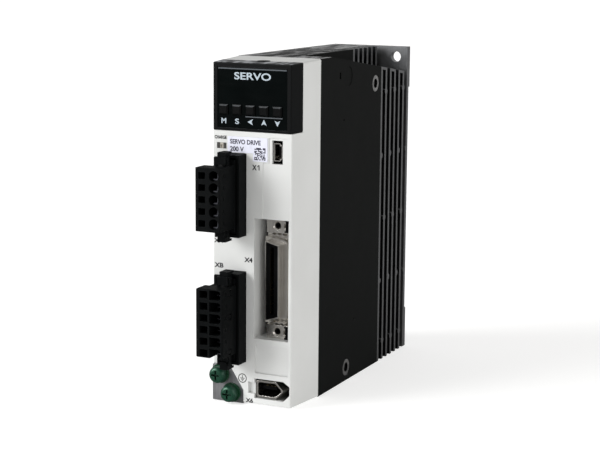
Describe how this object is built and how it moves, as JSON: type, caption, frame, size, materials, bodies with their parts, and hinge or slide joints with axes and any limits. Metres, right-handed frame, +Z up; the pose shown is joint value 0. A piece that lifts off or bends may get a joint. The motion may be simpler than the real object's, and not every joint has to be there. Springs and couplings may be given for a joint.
{
  "type": "servo drive",
  "caption": "Narrow upright servo drive with display, push buttons, plug-in terminals, control sockets, earth screws and a finned heat sink.",
  "frame": {"origin": "middle of the base rectangle of the whole drive, plugs included, at the height of the base", "axes": "+Z up; the display and sockets face -Y and the mounting face is at +Y; +X is to the right seen from the front"},
  "size_m": [0.04, 0.15, 0.15],
  "materials": {
    "white_cover": "fine satin moulded white plastic",
    "black_case": "matte black fine texture",
    "black_bezel": "satin black moulding",
    "smoked_window": "glossy smoked panel",
    "black_keys": "satin black key caps",
    "clear_lamp": "clear light guide over a dark inside",
    "red_led": "tinted lamp body",
    "label_film": "pale lilac film",
    "plated_steel": "nickel plated pressed steel",
    "contact_plastic": "black insulator",
    "earth_metal": "satin plated earth plate",
    "green_screw": "green anodised screw",
    "green_washer": "green washers",
    "terminal_plastic": "black glass-filled nylon",
    "tinned_pins": "tinned contact pins",
    "clamp_steel": "spring steel clamps",
    "screw_steel": "bright zinc screws",
    "cast_black": "black coated die casting",
    "pcb_green": "glass epoxy board",
    "module_black": "moulded component bodies",
    "digits_grey": "display digits block",
    "pad_grey": "silicone heat pad",
    "post_brass": "turned posts",
    "can_sleeve": "sleeved capacitor cans",
    "choke_green": "wound ring choke",
    "transformer_yellow": "taped transformer"
  },
  "bodies": {
    "drive": {"front_cover": "white_cover", "display_bezel": "black_bezel", "display_window": "smoked_window", "tact_switches": "module_black", "display_board": "pcb_green", "led_digits": "digits_grey", "charge_lamp": "clear_lamp", "charge_led": "red_led", "front_label": "label_film", "usb_shell": "plated_steel", "usb_tongue": "contact_plastic", "signal_shell": "plated_steel", "signal_insert": "contact_plastic", "signal_brackets": "plated_steel", "signal_latch_springs": "plated_steel", "network_shell": "plated_steel", "network_insert": "contact_plastic", "earth_plate": "earth_metal", "main_header": "terminal_plastic", "main_pins": "tinned_pins", "motor_header": "terminal_plastic", "motor_pins": "tinned_pins", "case_shell": "black_case", "side_cover": "black_case", "side_screws": "screw_steel", "heatsink": "cast_black", "power_module": "module_black", "thermal_pad": "pad_grey", "module_screws": "screw_steel", "power_board": "pcb_green", "control_board": "pcb_green", "board_posts": "post_brass", "board_screws": "screw_steel", "bulk_capacitors": "can_sleeve", "inrush_relay": "module_black", "filter_choke": "choke_green", "rectifier_bridge": "module_black", "board_link": "module_black", "processor": "module_black", "control_transformer": "transformer_yellow"},
    "button_mode": {"button_mode": "black_keys"},
    "button_set": {"button_set": "black_keys"},
    "button_shift": {"button_shift": "black_keys"},
    "button_up": {"button_up": "black_keys"},
    "button_down": {"button_down": "black_keys"},
    "main_plug": {"main_plug": "terminal_plastic", "main_clamps": "clamp_steel"},
    "main_latch_upper": {"main_latch_upper": "terminal_plastic"},
    "main_latch_lower": {"main_latch_lower": "terminal_plastic"},
    "motor_plug": {"motor_plug": "terminal_plastic", "motor_clamps": "clamp_steel"},
    "motor_latch_upper": {"motor_latch_upper": "terminal_plastic"},
    "motor_latch_lower": {"motor_latch_lower": "terminal_plastic"},
    "earth_washers_upper": {"earth_washers_upper": "green_washer"},
    "earth_screw_upper": {"earth_screw_upper": "green_screw"},
    "earth_washers_lower": {"earth_washers_lower": "green_washer"},
    "earth_screw_lower": {"earth_screw_lower": "green_screw"}
  },
  "joints": [
    {"name": "button_mode_press", "type": "slide", "parent": "drive", "child": "button_mode", "axis": [0, 1, 0], "range_m": [0, 0.0005], "stiffness_N_per_m": 300, "springref_m": -0.0005},
    {"name": "button_set_press", "type": "slide", "parent": "drive", "child": "button_set", "axis": [0, 1, 0], "range_m": [0, 0.0005], "stiffness_N_per_m": 300, "springref_m": -0.0005},
    {"name": "button_shift_press", "type": "slide", "parent": "drive", "child": "button_shift", "axis": [0, 1, 0], "range_m": [0, 0.0005], "stiffness_N_per_m": 300, "springref_m": -0.0005},
    {"name": "button_up_press", "type": "slide", "parent": "drive", "child": "button_up", "axis": [0, 1, 0], "range_m": [0, 0.0005], "stiffness_N_per_m": 300, "springref_m": -0.0005},
    {"name": "button_down_press", "type": "slide", "parent": "drive", "child": "button_down", "axis": [0, 1, 0], "range_m": [0, 0.0005], "stiffness_N_per_m": 300, "springref_m": -0.0005},
    {"name": "main_plug_pull", "type": "slide", "parent": "drive", "child": "main_plug", "axis": [0, -1, 0], "range_m": [0, 0.014]},
    {"name": "main_latch_upper_squeeze", "type": "hinge", "parent": "main_plug", "child": "main_latch_upper", "pos_m": [-0.0089, -0.0654, 0.1086], "axis": [1, 0, 0], "range_deg": [0, 10], "stiffness_Nm_per_rad": 0.02, "springref_deg": -5.73},
    {"name": "main_latch_lower_squeeze", "type": "hinge", "parent": "main_plug", "child": "main_latch_lower", "pos_m": [-0.0089, -0.0654, 0.0767], "axis": [-1, 0, 0], "range_deg": [0, 10], "stiffness_Nm_per_rad": 0.02, "springref_deg": -5.73},
    {"name": "motor_plug_pull", "type": "slide", "parent": "drive", "child": "motor_plug", "axis": [0, -1, 0], "range_m": [0, 0.014]},
    {"name": "motor_latch_upper_squeeze", "type": "hinge", "parent": "motor_plug", "child": "motor_latch_upper", "pos_m": [-0.0079, -0.0654, 0.0575], "axis": [1, 0, 0], "range_deg": [0, 10], "stiffness_Nm_per_rad": 0.02, "springref_deg": -5.73},
    {"name": "motor_latch_lower_squeeze", "type": "hinge", "parent": "motor_plug", "child": "motor_latch_lower", "pos_m": [-0.0079, -0.0654, 0.021], "axis": [-1, 0, 0], "range_deg": [0, 10], "stiffness_Nm_per_rad": 0.02, "springref_deg": -5.73},
    {"name": "earth_screw_upper_turn", "type": "hinge", "parent": "earth_washers_upper", "child": "earth_screw_upper", "pos_m": [-0.0157, -0.058, 0.0126], "axis": [0, -1, 0], "range_deg": [0, 1200]},
    {"name": "earth_washers_upper_lift", "type": "slide", "parent": "drive", "child": "earth_washers_upper", "axis": [0, -1, 0], "range_m": [0, 0.0021]},
    {"name": "earth_screw_lower_turn", "type": "hinge", "parent": "earth_washers_lower", "child": "earth_screw_lower", "pos_m": [-0.0101, -0.058, 0.0047], "axis": [0, -1, 0], "range_deg": [0, 1200]},
    {"name": "earth_washers_lower_lift", "type": "slide", "parent": "drive", "child": "earth_washers_lower", "axis": [0, -1, 0], "range_m": [0, 0.0021]}
  ],
  "couplings": [
    {"joint": "earth_screw_upper_turn", "follows": "earth_washers_upper_lift", "rad_per_m": 8976},
    {"joint": "earth_screw_lower_turn", "follows": "earth_washers_lower_lift", "rad_per_m": 8976}
  ]
}
